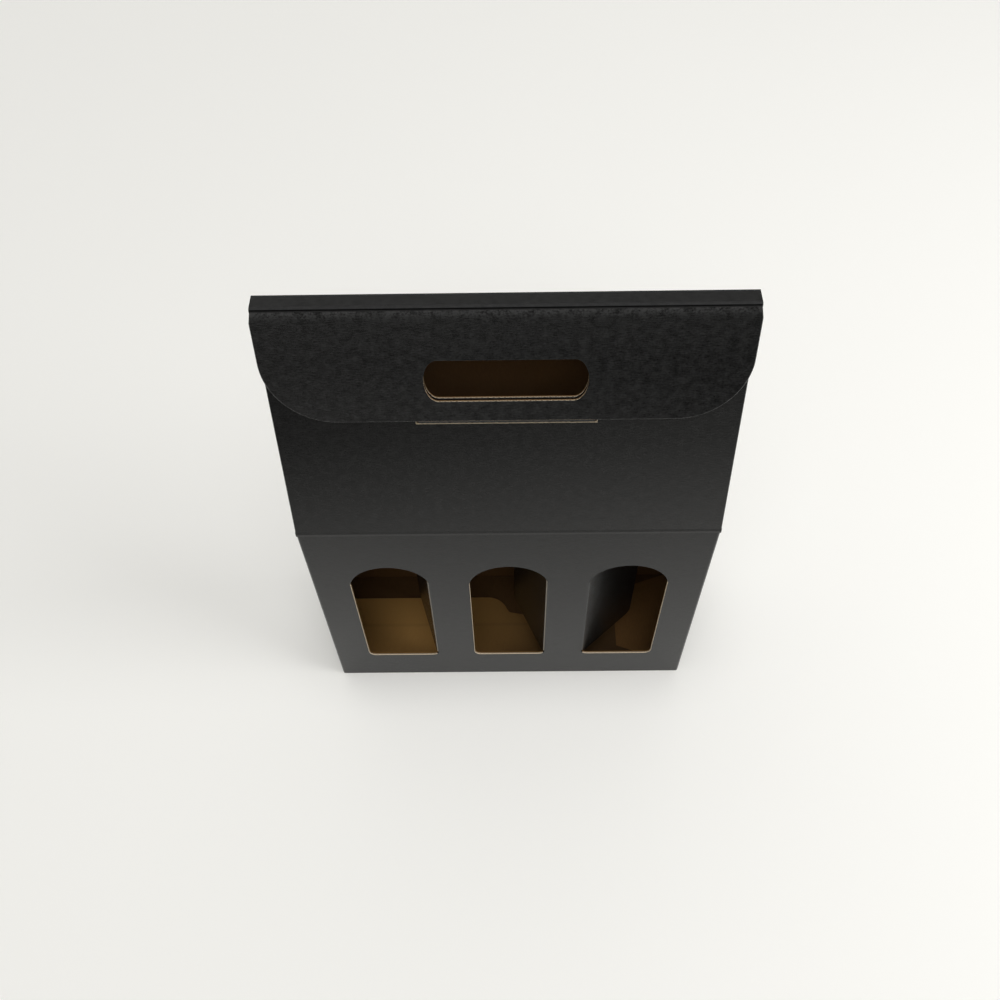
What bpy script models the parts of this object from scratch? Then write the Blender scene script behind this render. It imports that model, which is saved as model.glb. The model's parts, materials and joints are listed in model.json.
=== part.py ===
"""Three-bottle wine box of corrugated board, black outside and plain kraft inside.

The box is one die-cut blank, folded and glued. Every panel between two creases is a
flat plate of board, so every panel is modelled in the frame of its own crease:
X runs along the crease, Y away from it across the panel, and Z out of the black face.
A panel hangs on its neighbour by a fold angle about that crease.

Units are metres, +Z is up, the front is -Y, and the origin is under the middle of the box.
"""

import math

import bmesh
import bpy
from mathutils import Matrix, Vector

# Body of the box
WIDTH = 0.270
DEPTH = 0.090
BODY_HEIGHT = 0.210
TOTAL_HEIGHT = 0.370
RIDGE_DEPTH = 0.011

# Board and the gaps that creases and cuts leave
BOARD = 0.0016
CREASE_GAP = 0.0003
CUT_GAP = 0.0004
LID_GAP = 0.0004
EDGE_RADIUS = 0.005

# Windows in the front, one for each bottle, and the dividers cut from them
COMPARTMENTS = 3
WINDOW_SHARE = 0.6
WINDOW_CROWDING = 0.008
WINDOW_SILL = 0.0335
WINDOW_SPRING = 0.1455
WINDOW_ARCH_RISE = 0.022
WINDOW_CORNER_RADIUS = 0.005
LEFT_DIVIDER_ANGLE = math.radians(73)
MIDDLE_DIVIDER_ANGLE = math.radians(66)
RIGHT_DIVIDER_ANGLE = math.radians(42)

# Lid flap with its tuck tab, the slot for the tab, and the handle hole
LID_OVERHANG = 0.0015
LID_LENGTH = 0.0747
LID_CORNER_RADIUS = 0.040
TAB_WIDTH = 0.101
TAB_LENGTH = 0.018
TAB_CORNER_RADIUS = 0.007
TAB_SHOULDER = 0.004
TAB_ANGLE = math.radians(92)
SLOT_SIDE_CLEARANCE = 0.0015
SLOT_TOP_CLEARANCE = 0.0014
SLOT_BOTTOM_CLEARANCE = 0.0012
HANDLE_WIDTH = 0.092
HANDLE_HEIGHT = 0.0275
HANDLE_DROP = 0.0335
HANDLE_END_RISE = 0.006

# Free top edge of the front slope, below the ridge, and of the gussets
FRONT_SLOPE_DROP = 0.0170
GUSSET_DROP = 0.0170
GUSSET_START = 0.022
GUSSET_FLANK_SHARE = 0.85
GUSSET_TRIM = 0.0034

# Glued seam inside
GLUE_FLAP_WIDTH = 0.026
GLUE_FLAP_TAPER = 0.010
GLUE_FLAP_END_MARGIN = 0.008

# Base flaps, all measured away from their crease or from the middle of the box
BASE_EAR_DEPTH = 0.0652
BASE_HOOK_DEPTH = 0.0511
BASE_TONGUE_DEPTH = 0.0486
BASE_EAR_END = 0.018
BASE_EAR_CURVE = 0.017
BASE_EAR_CURVE_END = math.radians(160)
BASE_TONGUE_START = 0.013
BASE_TONGUE_END = 0.0865
BASE_TONGUE_CHAMFER = 0.008
BASE_CORNER_DEPTH = 0.020
BASE_CORNER_END = 0.001
BASE_SIDE_CLEARANCE = 0.0006
DUST_FLAP_LENGTH = 0.050
DUST_FLAP_TAPER = 0.0136
DUST_FLAP_NOSE = 0.0095

SMOOTH_STEPS = 8
MERGE_DISTANCE = 1e-6

# Sizes that follow from the ones above
HALF_WIDTH = WIDTH / 2
HALF_DEPTH = DEPTH / 2
COMPARTMENT = WIDTH / COMPARTMENTS
WINDOW_WIDTH = COMPARTMENT * WINDOW_SHARE
WINDOW_SPACING = COMPARTMENT - WINDOW_CROWDING
ROOF_RISE = TOTAL_HEIGHT - BODY_HEIGHT
SHOULDER = (DEPTH - RIDGE_DEPTH) / 2
LAYER = BOARD + CREASE_GAP
LID_STAND_OFF = BOARD + LID_GAP
BACK_LEAN = math.atan2(SHOULDER, ROOF_RISE)
BACK_SLOPE_LENGTH = math.hypot(SHOULDER, ROOF_RISE)
FRONT_LEAN = BACK_LEAN + math.asin(LID_STAND_OFF / BACK_SLOPE_LENGTH)
FRONT_SLOPE_LENGTH = math.sqrt(BACK_SLOPE_LENGTH ** 2 - LID_STAND_OFF ** 2)
GUSSET_SLANT = HALF_DEPTH / BACK_SLOPE_LENGTH
GUSSET_LEAN = math.acos((1 - GUSSET_SLANT * math.sin(BACK_LEAN)) / math.cos(BACK_LEAN))

# Matt black liner outside, bare kraft liner where the inner face is what shows
BLACK = (0.020, 0.020, 0.020)
KRAFT = (0.36, 0.22, 0.12)
ROUGHNESS = 0.55


def clear_scene():
    """Remove whatever the scene holds."""
    for obj in list(bpy.data.objects):
        bpy.data.objects.remove(obj)


def board_material(name, colour):
    """Matt board in the colour of the panel's visible face."""
    material = bpy.data.materials.new(name)
    material.use_nodes = True
    shader = material.node_tree.nodes["Principled BSDF"]
    shader.inputs["Base Color"].default_value = (*colour, 1.0)
    shader.inputs["Roughness"].default_value = ROUGHNESS
    shader.inputs["Metallic"].default_value = 0.0
    return material


def arc(centre, radius, start, end, steps=SMOOTH_STEPS):
    """Points on an arc from one angle to another, both ends included."""
    return [
        (centre[0] + radius * math.cos(start + (end - start) * i / steps),
         centre[1] + radius * math.sin(start + (end - start) * i / steps))
        for i in range(steps + 1)
    ]


def rounded(corners):
    """Closed outline from (x, y, radius) corners, each radius rounded with an arc."""
    outline = []
    count = len(corners)
    for i, (x, y, radius) in enumerate(corners):
        here = Vector((x, y))
        if radius <= 0:
            outline.append((x, y))
            continue
        before = (Vector(corners[i - 1][:2]) - here).normalized()
        after = (Vector(corners[(i + 1) % count][:2]) - here).normalized()
        half = before.angle(after) / 2
        centre = here + (before + after).normalized() * radius / math.sin(half)
        first = here + before * radius / math.tan(half) - centre
        last = here + after * radius / math.tan(half) - centre
        start = math.atan2(first.y, first.x)
        sweep = math.remainder(math.atan2(last.y, last.x) - start, 2 * math.pi)
        outline += arc(centre, radius, start, start + sweep)
    return outline


def mirrored(outline):
    """The same outline turned over across the Y axis."""
    return [(-x, y) for x, y in outline]


def window_outline(centre, inset=0.0):
    """Arched window about x = centre, drawn smaller all round by inset."""
    half = WINDOW_WIDTH / 2
    radius = (half ** 2 + WINDOW_ARCH_RISE ** 2) / (2 * WINDOW_ARCH_RISE)
    arch_y = WINDOW_SPRING + WINDOW_ARCH_RISE - radius
    edge = half - inset
    corner = WINDOW_CORNER_RADIUS
    sill = WINDOW_SILL + inset
    reach = math.asin(min(1.0, edge / (radius - inset)))
    points = arc((centre - edge + corner, sill + corner), corner, math.pi, 1.5 * math.pi)
    points += arc((centre + edge - corner, sill + corner), corner, 1.5 * math.pi, 2 * math.pi)
    points += arc((centre, arch_y), radius - inset, math.pi / 2 - reach, math.pi / 2 + reach, 3 * SMOOTH_STEPS)
    return points


def handle_outline(middle_y):
    """Long hole with shallow round ends, its middle at y = middle_y."""
    half_height = HANDLE_HEIGHT / 2
    radius = (half_height ** 2 + HANDLE_END_RISE ** 2) / (2 * HANDLE_END_RISE)
    centre_x = HANDLE_WIDTH / 2 - radius
    reach = math.asin(half_height / radius)
    right = arc((centre_x, middle_y), radius, -reach, reach)
    left = arc((-centre_x, middle_y), radius, math.pi - reach, math.pi + reach)
    return right + left


def flat_curve(outline, holes):
    """A filled 2D curve of the outline with its holes, extruded to the board's thickness."""
    curve = bpy.data.curves.new("outline", "CURVE")
    curve.dimensions = "2D"
    curve.fill_mode = "BOTH"
    curve.extrude = BOARD / 2
    for ring in [outline, *holes]:
        spline = curve.splines.new("POLY")
        spline.points.add(len(ring) - 1)
        for point, (x, y) in zip(spline.points, ring):
            point.co = (x, y, 0, 1)
        spline.use_cyclic_u = True
    return curve


def cut_mitres(mesh, mitres):
    """Bevel crease edges so that folded neighbours meet in a corner.

    Each mitre is (point, direction, fold): a point on the crease, the direction across it
    out of the panel, and the angle by which the neighbour is folded inwards.
    """
    bm = bmesh.new()
    bm.from_mesh(mesh)
    bmesh.ops.remove_doubles(bm, verts=bm.verts, dist=MERGE_DISTANCE)
    for point, direction, fold in mitres:
        across = Vector((*direction, 0)).normalized()
        normal = across * math.cos(fold / 2) - Vector((0, 0, 1)) * math.sin(fold / 2)
        place = Vector((*point, 0)) - normal * CREASE_GAP / 2
        everything = bm.verts[:] + bm.edges[:] + bm.faces[:]
        cut = bmesh.ops.bisect_plane(
            bm, geom=everything, dist=MERGE_DISTANCE / 10, plane_co=place, plane_no=normal, clear_outer=True)
        rim = [e for e in cut["geom_cut"] if isinstance(e, bmesh.types.BMEdge)]
        bmesh.ops.holes_fill(bm, edges=rim, sides=0)
    bmesh.ops.recalc_face_normals(bm, faces=bm.faces)
    bm.to_mesh(mesh)
    bm.free()


class Carton:
    """The blank's panels, each kept under its name in one collection."""

    def __init__(self, title):
        self.collection = bpy.data.collections.new(title)
        bpy.context.scene.collection.children.link(self.collection)
        self.frames = {}

    def panel(self, name, frame, outline, holes=(), mitres=(), crease_on_inner_face=False, colour=BLACK):
        """Make one plate of board in its crease's frame and put it in the scene."""
        curve = flat_curve(outline, holes)
        flat = bpy.data.objects.new("flat", curve)
        bpy.context.scene.collection.objects.link(flat)
        evaluated = flat.evaluated_get(bpy.context.evaluated_depsgraph_get())
        mesh = bpy.data.meshes.new_from_object(evaluated)
        bpy.data.objects.remove(flat)
        lift = BOARD / 2 if crease_on_inner_face else -BOARD / 2
        mesh.transform(Matrix.Translation((0, 0, lift)))
        cut_mitres(mesh, mitres)
        mesh.materials.clear()
        mesh.materials.append(board_material(name, colour))
        obj = bpy.data.objects.new(name, mesh)
        self.collection.objects.link(obj)
        obj.matrix_world = frame
        self.frames[name] = frame
        return obj

    def fold(self, parent, at, fold, turn=0.0, depth=0.0):
        """Frame of a crease on a panel.

        at is the crease's place on the parent, turn points its Y away from the parent,
        depth puts it below the black face, and fold turns the new panel inwards.
        """
        place = Matrix.Translation((at[0], at[1], -depth))
        return self.frames[parent] @ place @ Matrix.Rotation(turn, 4, "Z") @ Matrix.Rotation(-fold, 4, "X")


def wall_frame(turn, reach):
    """Frame of an upright wall: origin on the floor under its black face, Y up."""
    return (Matrix.Rotation(turn, 4, "Z") @ Matrix.Translation((0, -reach, 0))
            @ Matrix.Rotation(math.pi / 2, 4, "X"))


def rectangle(left, right, bottom, top):
    """Outline of a plain rectangle."""
    return [(left, bottom), (right, bottom), (right, top), (left, top)]


def build_walls(box):
    """Front with its three windows, back and both sides, mitred at their upright creases."""
    corner = math.pi / 2

    def wall(name, turn, reach, half, holes, top_fold):
        mitres = [((half, 0), (1, 0), corner), ((-half, 0), (-1, 0), corner),
                  ((0, BODY_HEIGHT), (0, 1), top_fold)]
        box.panel(name, wall_frame(turn, reach), rectangle(-half, half, 0, BODY_HEIGHT), holes, mitres)

    windows = [window_outline(x) for x in (-WINDOW_SPACING, 0, WINDOW_SPACING)]
    wall("front_panel", 0, HALF_DEPTH, HALF_WIDTH, windows, FRONT_LEAN)
    wall("back_panel", math.pi, HALF_DEPTH, HALF_WIDTH, [], BACK_LEAN)
    wall("left_side_panel", -math.pi / 2, HALF_WIDTH, HALF_DEPTH, [], GUSSET_LEAN)
    wall("right_side_panel", math.pi / 2, HALF_WIDTH, HALF_DEPTH, [], GUSSET_LEAN)


def build_glue_flap(box):
    """Seam flap glued to the inside of the left side, at the back corner."""
    back = -HALF_DEPTH + LAYER
    low = GLUE_FLAP_END_MARGIN
    high = BODY_HEIGHT - GLUE_FLAP_END_MARGIN
    outline = [(back, low), (back + GLUE_FLAP_WIDTH, low + GLUE_FLAP_TAPER),
               (back + GLUE_FLAP_WIDTH, high - GLUE_FLAP_TAPER), (back, high)]
    box.panel("glue_flap", box.fold("left_side_panel", (0, 0), 0, depth=LAYER), outline, colour=KRAFT)


def build_dividers(box):
    """The window cut-outs, left on one upright crease and folded in between the bottles."""
    half = WINDOW_WIDTH / 2
    dividers = (
        ("left_divider", -WINDOW_SPACING, 1, LEFT_DIVIDER_ANGLE),
        ("middle_divider", 0, 1, MIDDLE_DIVIDER_ANGLE),
        ("right_divider", WINDOW_SPACING, -1, RIGHT_DIVIDER_ANGLE),
    )
    for name, centre, side, angle in dividers:
        hinge = centre + side * half
        frame = box.fold("front_panel", (hinge, 0), angle, turn=side * math.pi / 2, depth=BOARD)
        # The crease's X runs up where it is on the window's right, and down on its left.
        outline = [(side * y, side * (hinge - x)) for x, y in window_outline(centre, CUT_GAP)]
        box.panel(name, frame, outline, crease_on_inner_face=True)


def base_flap_outline():
    """Half of the locking base, seen from below: a deep ear, the hook, a tongue and a corner."""
    start = LAYER
    side = HALF_WIDTH - LAYER - BASE_SIDE_CLEARANCE
    ear_end = BASE_EAR_END
    curve = BASE_EAR_CURVE
    hook = BASE_TONGUE_START
    points = [(side, start), (side, BASE_EAR_DEPTH), (ear_end, BASE_EAR_DEPTH)]
    points += arc((ear_end, BASE_EAR_DEPTH - curve), curve, math.pi / 2, BASE_EAR_CURVE_END)[1:]
    points += [(0, BASE_HOOK_DEPTH), (-hook, BASE_TONGUE_DEPTH)]
    points += [(-BASE_TONGUE_END + BASE_TONGUE_CHAMFER, BASE_TONGUE_DEPTH),
               (-BASE_TONGUE_END, BASE_TONGUE_DEPTH - BASE_TONGUE_CHAMFER),
               (-BASE_TONGUE_END, BASE_CORNER_DEPTH),
               (-side, start + BASE_CORNER_END), (-side, start)]
    return points


def dust_flap_outline():
    """Short end flap, tapered to a blunt nose."""
    root = HALF_DEPTH - LAYER - BASE_SIDE_CLEARANCE
    shoulder = root - DUST_FLAP_TAPER
    nose = DUST_FLAP_LENGTH - DUST_FLAP_NOSE
    blunt = shoulder - EDGE_RADIUS
    return rounded([
        (-root, LAYER, 0), (root, LAYER, 0), (shoulder, nose, EDGE_RADIUS),
        (blunt, DUST_FLAP_LENGTH, EDGE_RADIUS / 2), (-blunt, DUST_FLAP_LENGTH, EDGE_RADIUS / 2),
        (-shoulder, nose, EDGE_RADIUS),
    ])


def build_base(box):
    """Back flap lowest, then both end flaps, and the front flap on top."""
    down = math.pi
    inwards = math.pi / 2
    major = base_flap_outline()
    minor = dust_flap_outline()
    flaps = (
        ("back_base_flap", "back_panel", major, 0),
        ("left_base_flap", "left_side_panel", minor, 1),
        ("right_base_flap", "right_side_panel", minor, 1),
        ("front_base_flap", "front_panel", major, 2),
    )
    for name, wall, outline, layer in flaps:
        box.panel(name, box.fold(wall, (0, layer * LAYER), inwards, turn=down), outline, colour=KRAFT)


def build_slopes(box):
    """Front slope with handle hole and slot, back slope with the same hole."""
    half = HALF_WIDTH
    across = (0, -1)
    front_top = FRONT_SLOPE_LENGTH - FRONT_SLOPE_DROP
    hole_middle = HANDLE_DROP + HANDLE_HEIGHT / 2
    slot_half = TAB_WIDTH / 2 + SLOT_SIDE_CLEARANCE
    slot_top = FRONT_SLOPE_LENGTH - LID_LENGTH + SLOT_TOP_CLEARANCE
    slot_bottom = FRONT_SLOPE_LENGTH - LID_LENGTH - BOARD - SLOT_BOTTOM_CLEARANCE
    slot = rectangle(-slot_half, slot_half, slot_bottom, slot_top)
    outline = rounded([(-half, 0, 0), (half, 0, 0), (half, front_top, EDGE_RADIUS),
                       (-half, front_top, EDGE_RADIUS)])
    box.panel("front_slope", box.fold("front_panel", (0, BODY_HEIGHT), FRONT_LEAN), outline,
              [handle_outline(FRONT_SLOPE_LENGTH - hole_middle), slot], [((0, 0), across, FRONT_LEAN)])

    ridge_fold = math.pi / 2 - BACK_LEAN
    box.panel("back_slope", box.fold("back_panel", (0, BODY_HEIGHT), BACK_LEAN),
              rectangle(-half, half, 0, BACK_SLOPE_LENGTH),
              [handle_outline(BACK_SLOPE_LENGTH - hole_middle)],
              [((0, 0), across, BACK_LEAN), ((0, BACK_SLOPE_LENGTH), (0, 1), ridge_fold)])


def build_lid(box):
    """Ridge strip, lid flap with its big round corners, and the tab tucked into the slot."""
    half = HALF_WIDTH
    ridge_fold = math.pi / 2 - BACK_LEAN
    lid_fold = math.pi / 2 - FRONT_LEAN
    box.panel("ridge_strip", box.fold("back_slope", (0, BACK_SLOPE_LENGTH), ridge_fold),
              rectangle(-half, half, 0, RIDGE_DEPTH), (),
              [((0, 0), (0, -1), ridge_fold), ((0, RIDGE_DEPTH), (0, 1), lid_fold)])

    wide = half + LID_OVERHANG
    outline = rounded([(-wide, 0, 0), (wide, 0, 0), (wide, LID_LENGTH, LID_CORNER_RADIUS),
                       (-wide, LID_LENGTH, LID_CORNER_RADIUS)])
    box.panel("lid_flap", box.fold("ridge_strip", (0, RIDGE_DEPTH), lid_fold), outline,
              [handle_outline(HANDLE_DROP + HANDLE_HEIGHT / 2)], [((0, 0), (0, -1), lid_fold)])

    root = TAB_WIDTH / 2
    tip = root - TAB_SHOULDER
    tab = rounded([(-root, CREASE_GAP, 0), (root, CREASE_GAP, 0), (tip, TAB_LENGTH, TAB_CORNER_RADIUS),
                   (-tip, TAB_LENGTH, TAB_CORNER_RADIUS)])
    box.panel("tuck_tab", box.fold("lid_flap", (0, LID_LENGTH), TAB_ANGLE, depth=BOARD), tab,
              crease_on_inner_face=True)


def flank_fold(lean):
    """Angle between a slope and the gusset half folded back behind it."""
    return math.asin((GUSSET_SLANT - math.sin(lean)) / (GUSSET_SLANT * math.cos(lean)))


def build_gussets(box):
    """Each end closes with a leaning triangle and two halves folded back behind the slopes."""
    top = BACK_SLOPE_LENGTH - GUSSET_DROP
    root = HALF_DEPTH - GUSSET_TRIM
    tip = HALF_DEPTH * GUSSET_DROP / BACK_SLOPE_LENGTH
    triangle = [(-root, 0), (root, 0), (tip, top), (-tip, top)]
    for side in ("left", "right"):
        frame = box.fold(side + "_side_panel", (0, BODY_HEIGHT), GUSSET_LEAN)
        box.panel(side + "_gusset", frame, triangle, (), [((0, 0), (0, -1), GUSSET_LEAN)])

    share = GUSSET_SLANT * GUSSET_FLANK_SHARE
    flank = [(GUSSET_START, CREASE_GAP), (top, CREASE_GAP), (top, top * share),
             (GUSSET_START, GUSSET_START * share)]
    sides = (("front_slope", FRONT_LEAN, 1, "left_front"), ("front_slope", FRONT_LEAN, -1, "right_front"),
             ("back_slope", BACK_LEAN, 1, "right_back"), ("back_slope", BACK_LEAN, -1, "left_back"))
    for slope, lean, side, name in sides:
        frame = box.fold(slope, (-side * HALF_WIDTH, 0), math.pi - flank_fold(lean),
                         turn=side * math.pi / 2, depth=LAYER + BOARD)
        outline = flank if side > 0 else mirrored(flank)
        box.panel(name + "_gusset_flank", frame, outline)


def main():
    """Fold the whole carton."""
    clear_scene()
    box = Carton("wine_box")
    build_walls(box)
    build_glue_flap(box)
    build_dividers(box)
    build_base(box)
    build_slopes(box)
    build_lid(box)
    build_gussets(box)


main()
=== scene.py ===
"""Looks of a wine box: a black gable-top carton of E-flute board that carries three bottles.

The board is printed black outside and bare kraft inside. Each panel is shaped flat on the bench,
with X along its crease, Y across the panel and Z out of the black face, and is then folded into
place. Creases on which a panel turns are strips of their own that bend between the two panels.
Lengths are metres.
"""

import json
import logging
import math
from collections.abc import Callable
from dataclasses import dataclass, field
from enum import Enum
from functools import partial

import bmesh
import bpy
from mathutils import Matrix, Vector


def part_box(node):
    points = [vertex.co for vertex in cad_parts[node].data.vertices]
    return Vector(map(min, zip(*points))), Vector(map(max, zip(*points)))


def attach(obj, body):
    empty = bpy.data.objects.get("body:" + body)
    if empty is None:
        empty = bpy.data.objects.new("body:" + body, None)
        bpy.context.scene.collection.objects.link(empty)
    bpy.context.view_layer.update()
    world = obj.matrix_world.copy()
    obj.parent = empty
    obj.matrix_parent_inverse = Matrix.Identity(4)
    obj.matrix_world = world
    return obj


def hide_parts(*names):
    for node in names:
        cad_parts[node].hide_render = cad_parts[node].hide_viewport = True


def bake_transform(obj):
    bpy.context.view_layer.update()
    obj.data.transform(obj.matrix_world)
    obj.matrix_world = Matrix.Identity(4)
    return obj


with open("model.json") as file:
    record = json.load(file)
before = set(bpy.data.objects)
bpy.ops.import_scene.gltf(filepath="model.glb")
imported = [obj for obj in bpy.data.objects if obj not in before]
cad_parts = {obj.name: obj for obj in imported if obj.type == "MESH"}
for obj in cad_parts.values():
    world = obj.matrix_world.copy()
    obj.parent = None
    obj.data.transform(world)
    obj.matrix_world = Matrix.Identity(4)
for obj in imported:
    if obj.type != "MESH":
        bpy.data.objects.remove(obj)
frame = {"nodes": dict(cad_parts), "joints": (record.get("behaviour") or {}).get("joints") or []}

log = logging.getLogger("wine_box")
MM = 0.001
RIGHT_ANGLE = math.pi / 2

# Margins of the tests that find points, edges and faces by their place
TOUCH = 0.001 * MM  # two points nearer than this are one
HAIR = 0.01 * MM  # what is nearer than this to a line or face lies on it
SLACK = 0.1 * MM  # keeps a test clear of the edges beside those it looks for
LEVEL = 0.9999  # least Z of a flat face's normal

SHARP_EDGE = math.radians(60)
SMOOTH_ANGLE = math.radians(35)
BEND_STEP = math.radians(9)
ROUND_STEPS = 96
CUTTER_REACH = 4.0 * MM

# The waves of E flute are about 3.2 mm long. A wave texture of scale 1 repeats every tau / 20.
FLUTE_PITCH = 3.2 * MM
FLUTE_SCALE = math.tau / 20 / FLUTE_PITCH

# Sockets of a colour Mix node: its factor, its two colours and the result
FACTOR, FIRST, SECOND, MIXED = 0, 6, 7, 2

Element = bmesh.types.BMVert | bmesh.types.BMEdge | bmesh.types.BMFace
ElementTest = Callable[[Element], bool]
Test = Callable[[Vector], bool]
Triple = tuple[float, float, float]


class Pick(Enum):
    """What an edit-mode selection is made of."""

    POINTS = "VERT"
    EDGES = "EDGE"
    FACES = "FACE"


class Skin(Enum):
    """The surfaces of a board, in the order of its material slots."""

    BLACK = 0
    KRAFT = 1
    CUT = 2
    RIM = 3


SkinRule = Callable[[Vector], Skin | None]


def linear(hex_colour: str) -> tuple[float, float, float, float]:
    """Turn an sRGB hex colour into linear light.

    Args:
        hex_colour: Colour as "#rrggbb".

    Returns:
        Linear red, green and blue with full alpha.
    """
    shares = [int(hex_colour[i:i + 2], 16) / 255 for i in (1, 3, 5)]
    light = [s / 12.92 if s <= 0.04045 else ((s + 0.055) / 1.055) ** 2.4 for s in shares]
    return (*light, 1.0)


def add_node(
    tree: bpy.types.NodeTree,
    kind: str,
    inputs: dict[int | str, object] | None = None,
    output: int | str = 0,
    **settings: object,
) -> bpy.types.NodeSocket | None:
    """Add one shader node with its settings, values and links.

    Args:
        tree: Node tree that gets the node.
        kind: Blender's name for the node type, without its "ShaderNode".
        inputs: Value, hex colour or source socket for each named or numbered input.
        output: Name or number of the output that is wanted.
        **settings: Properties of the node itself.

    Returns:
        The output, or None for a node without any.
    """
    made = tree.nodes.new("ShaderNode" + kind)
    for name, value in settings.items():
        setattr(made, name, value)
    for name, value in (inputs or {}).items():
        if isinstance(value, bpy.types.NodeSocket):
            tree.links.new(value, made.inputs[name])
        else:
            made.inputs[name].default_value = linear(value) if isinstance(value, str) else value
    return made.outputs[output] if made.outputs else None


def new_material(
    name: str, roughness: float, sheen: float,
) -> tuple[bpy.types.Material, bpy.types.NodeTree, bpy.types.Node]:
    """Start a node material.

    Args:
        name: Name of the material.
        roughness: Roughness of its surface.
        sheen: Specular level of its surface.

    Returns:
        The material, its node tree and its Principled shader.
    """
    material = bpy.data.materials.new(name)
    material.use_nodes = True
    shader = material.node_tree.nodes["Principled BSDF"]
    shader.inputs["Roughness"].default_value = roughness
    shader.inputs["Specular IOR Level"].default_value = sheen
    return material, material.node_tree, shader


@dataclass(frozen=True)
class Finish:
    """What every finish of the board has: a name, a gloss, and a pattern that follows the board."""

    name: str = "board"
    roughness: float = 0.9
    sheen: float = 0.2

    def make(self) -> bpy.types.Material:
        """Build the material.

        Returns:
            The finished material.
        """
        material, tree, shader = new_material(self.name, self.roughness, self.sheen)
        self.paint(tree, shader, self.place(tree))
        return material

    def place(self, tree: bpy.types.NodeTree) -> bpy.types.NodeSocket:
        """Coordinates of the board as it lay flat, so that a pattern runs round every fold."""
        return add_node(tree, "Attribute", output="Vector", attribute_name="flat")

    def paint(self, tree: bpy.types.NodeTree, shader: bpy.types.Node,
              place: bpy.types.NodeSocket) -> bpy.types.NodeSocket:
        """Paint the finish on a shader.

        Args:
            tree: Node tree of the material.
            shader: Principled shader that gets the finish.
            place: Socket with the surface's own coordinates.

        Returns:
            The socket with the colour.
        """
        raise NotImplementedError


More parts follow.
